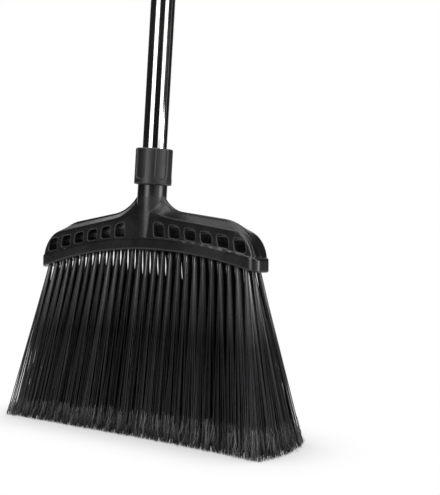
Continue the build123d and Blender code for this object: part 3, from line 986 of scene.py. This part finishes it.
class BROOM_OT_fit_bands(bpy.types.Operator):
    """Finish the black bands of the pole joints and the rings between them"""

    bl_idname = "broom.fit_bands"
    bl_label = "Fit Bands"

    def execute(self, context):
        looks = context.scene.broom_finish
        band = gloss_plastic("band_plastic", looks.fitting_colour, looks.gloss_roughness)
        dress(SOCKET_NODES + PLUG_NODES, band)
        dress(SEAL_NODES, seal_rubber("seal_rubber", RUBBER_COLOUR))
        return {"FINISHED"}


class BROOM_OT_fit_grip(bpy.types.Operator):
    """Finish the hand grip with its hanging loop"""

    bl_idname = "broom.fit_grip"
    bl_label = "Fit Grip"

    def execute(self, context):
        looks = context.scene.broom_finish
        roughness = looks.gloss_roughness + GRIP_DULLING
        dress(["hand_grip"], gloss_plastic("grip_plastic", looks.fitting_colour, roughness))
        return {"FINISHED"}


class BROOM_OT_set_stage(bpy.types.Operator):
    """Set the floor, the light and the camera"""

    bl_idname = "broom.set_stage"
    bl_label = "Set Stage"

    def execute(self, context):
        settings = context.scene.broom_stage
        context.scene.view_settings.view_transform = "Standard"
        lay_floor()
        light_world(context.scene, settings.ambient)
        hang_lights(settings)
        stand_flags(settings)
        aim_camera(context.scene, settings)
        return {"FINISHED"}


def shown_rays(finish):
    """1 for camera, mirror and see-through rays, and 0 for the rays that light the object."""
    light_path = finish.node("ShaderNodeLightPath")
    sums = light_path.outputs["Is Camera Ray"]
    for name in ("Is Glossy Ray", "Is Transmission Ray"):
        sums = finish.combine("MAXIMUM", sums, light_path.outputs[name])
    return sums


def light_and_show(finish, lit, seen, output):
    """Give one shader to the rays that light the object, and another to those that show it."""
    choice = finish.node("ShaderNodeMixShader")
    finish.join(shown_rays(finish), choice.inputs["Fac"])
    finish.join(lit, choice.inputs[1])
    finish.join(seen, choice.inputs[2])
    finish.join(choice.outputs["Shader"], finish.node(output).inputs["Surface"])


def lay_floor():
    """A pale floor that shows white, but for the soft shade where the object hides the sky."""
    bpy.ops.mesh.primitive_plane_add(size=FLOOR_SIZE)
    floor = bpy.context.object
    floor.name = "floor"
    material = bpy.data.materials.new("pale_floor")
    material.use_nodes = True
    finish = TreeFinish(material.node_tree)
    matt = finish.node("ShaderNodeBsdfDiffuse", {"Color": (FLOOR_TONE, FLOOR_TONE, FLOOR_TONE, 1)})
    sky = finish.node("ShaderNodeAmbientOcclusion", {"Distance": FLOOR_SHADE})
    seen = finish.node("ShaderNodeEmission")
    white = finish.spread(sky.outputs["AO"], 0.4, 1.0, start=0.3, end=0.97)
    finish.join(white, seen.inputs["Strength"])
    output = "ShaderNodeOutputMaterial"
    light_and_show(finish, matt.outputs["BSDF"], seen.outputs["Emission"], output)
    floor.data.materials.append(material)


def light_world(scene, ambient):
    """White where the camera and mirrors look, and a lower level where it lights the object."""
    world = bpy.data.worlds.new("studio")
    world.use_nodes = True
    finish = TreeFinish(world.node_tree)
    skies = [
        finish.node("ShaderNodeBackground", {"Color": (1, 1, 1, 1), "Strength": strength})
        for strength in (ambient, 1.0)
    ]
    soft, white = [sky.outputs["Background"] for sky in skies]
    light_and_show(finish, soft, white, "ShaderNodeOutputWorld")
    scene.world = world


def heading(azimuth):
    """Level direction towards an azimuth, where 0 is the front and a right angle is +X."""
    return Vector((math.sin(azimuth), -math.cos(azimuth), 0))


def hang_light(name, place, aim, size, level):
    """A rectangular softbox at a place, turned to its aim, that looks as bright as its level."""
    light = bpy.data.lights.new(name, "AREA")
    light.shape = "RECTANGLE"
    light.size, light.size_y = size
    light.energy = level * math.pi * size[0] * size[1]
    lamp = bpy.data.objects.new(name, light)
    lamp.location = place
    lamp.rotation_euler = (place - aim).to_track_quat("Z", "Y").to_euler()
    lamp.visible_camera = False
    bpy.context.scene.collection.objects.link(lamp)


def hang_lights(settings):
    """Tall softboxes at both sides, a strip before one, a low strip by the other, and a top light."""
    boxes = (
        ("left_box", LEFT_BOX, BOX_DISTANCE, BOX_REACH, settings.left_level),
        ("right_box", RIGHT_BOX, BOX_DISTANCE, HIGH_REACH, settings.right_level),
        ("left_strip", LEFT_STRIP, STRIP_DISTANCE, BOX_REACH, settings.left_strip),
        ("right_strip", RIGHT_STRIP, STRIP_DISTANCE, LOW_REACH, settings.right_strip),
    )
    for name, (low, high), distance, (foot, top), level in boxes:
        facing = heading(settings.azimuth + (low + high) / 2)
        width = 2 * distance * math.tan((high - low) / 2)
        aim = Vector((0, 0, (foot + top) / 2))
        hang_light(name, facing * distance + aim, aim, (width, top - foot), level)
    hang_light("top_light", TOP_PLACE, TOP_AIM, TOP_SIZE, settings.top_level)


def stand_flags(settings):
    """Cloth flags that only mirrors see, on a circle: between the softboxes and round the sides.

    They are black but for a pale one, and leave the circle open behind.
    """
    black = Finish("black_cloth", (BLACK_CLOTH, BLACK_CLOTH, BLACK_CLOTH), 1.0).material
    pale = Finish("pale_cloth", (PALE_CLOTH, PALE_CLOTH, PALE_CLOTH), 1.0).material
    spans = (
        (-BACK_GAP, LEFT_BOX[0], black),
        (LEFT_BOX[1], RIGHT_BOX[0], black),
        (RIGHT_BOX[1], PALE_FLAG[0], black),
        (*PALE_FLAG, pale),
        (PALE_FLAG[1], BACK_GAP, black),
    )
    for number, (low, high, material) in enumerate(spans):
        angles = settings.azimuth + np.linspace(low, high, FLAG_STEPS + 1)
        level = FLAG_RADIUS * np.stack([np.sin(angles), -np.cos(angles), 0 * angles], axis=-1)
        points = np.concatenate([level, level + np.array([0, 0, FLAG_HEIGHT])])
        first = np.arange(FLAG_STEPS)
        above = first + len(angles)
        faces = np.stack([first, first + 1, above + 1, above], axis=-1)
        mesh = bpy.data.meshes.new(f"flag_{number}")
        mesh.from_pydata(points.tolist(), [], faces.tolist())
        mesh.materials.append(material)
        flag = bpy.data.objects.new(f"flag_{number}", mesh)
        bpy.context.scene.collection.objects.link(flag)
        flag.visible_camera = False
        flag.visible_diffuse = False
        flag.visible_shadow = False


def aim_camera(scene, settings):
    """Camera at the photograph's viewing angle, rolled about its line of sight."""
    lens = bpy.data.cameras.new("camera")
    lens.lens = settings.focal_pixels * SENSOR / FRAME_HEIGHT
    lens.sensor_width = SENSOR
    lens.clip_start = 0.01
    flat = math.cos(settings.elevation)
    back = heading(settings.azimuth) * flat + Vector((0, 0, math.sin(settings.elevation)))
    right = Vector((math.cos(settings.azimuth), math.sin(settings.azimuth), 0))
    up = back.cross(right)
    side = right * math.cos(settings.roll) + up * math.sin(settings.roll)
    rise = up * math.cos(settings.roll) - right * math.sin(settings.roll)
    turned = Matrix((side, rise, back)).transposed().to_4x4()
    camera = bpy.data.objects.new("camera", lens)
    place = Vector(settings.target) + back * settings.distance
    camera.matrix_world = Matrix.Translation(place) @ turned
    scene.collection.objects.link(camera)
    scene.camera = camera


class BROOM_PT_panel(bpy.types.Panel):
    """The broom's settings and steps"""

    bl_label = "Broom"
    bl_idname = "BROOM_PT_panel"
    bl_space_type = "VIEW_3D"
    bl_region_type = "UI"
    bl_category = "Broom"

    def draw(self, context):
        for setting in SETTINGS:
            group = getattr(context.scene, setting)
            box = self.layout.box()
            for name in group.bl_rna.properties.keys():
                if name not in ("rna_type", "name"):
                    box.prop(group, name)
        for operator in STEPS:
            self.layout.operator(operator.bl_idname)


SETTINGS = {
    "broom_bristles": BroomBristleSettings,
    "broom_finish": BroomFinishSettings,
    "broom_stage": BroomStageSettings,
}
STEPS = (
    BROOM_OT_mould_head,
    BROOM_OT_plant_bristles,
    BROOM_OT_set_anchors,
    BROOM_OT_turn_nut,
    BROOM_OT_polish_tubes,
    BROOM_OT_fit_bands,
    BROOM_OT_fit_grip,
    BROOM_OT_set_stage,
)


def register():
    """Register the settings, the steps and the panel."""
    for name, group in SETTINGS.items():
        bpy.utils.register_class(group)
        setattr(bpy.types.Scene, name, PointerProperty(type=group))
    for operator in STEPS:
        bpy.utils.register_class(operator)
    bpy.utils.register_class(BROOM_PT_panel)


def unregister():
    """Remove the panel, the steps and the settings."""
    bpy.utils.unregister_class(BROOM_PT_panel)
    for operator in reversed(STEPS):
        bpy.utils.unregister_class(operator)
    for name, group in SETTINGS.items():
        delattr(bpy.types.Scene, name)
        bpy.utils.unregister_class(group)


def main():
    """Dress the broom step by step."""
    register()
    bpy.ops.broom.mould_head()
    bpy.ops.broom.plant_bristles()
    bpy.ops.broom.set_anchors()
    bpy.ops.broom.turn_nut()
    bpy.ops.broom.polish_tubes()
    bpy.ops.broom.fit_bands()
    bpy.ops.broom.fit_grip()
    bpy.ops.broom.set_stage()


if __name__ == "__main__":
    main()
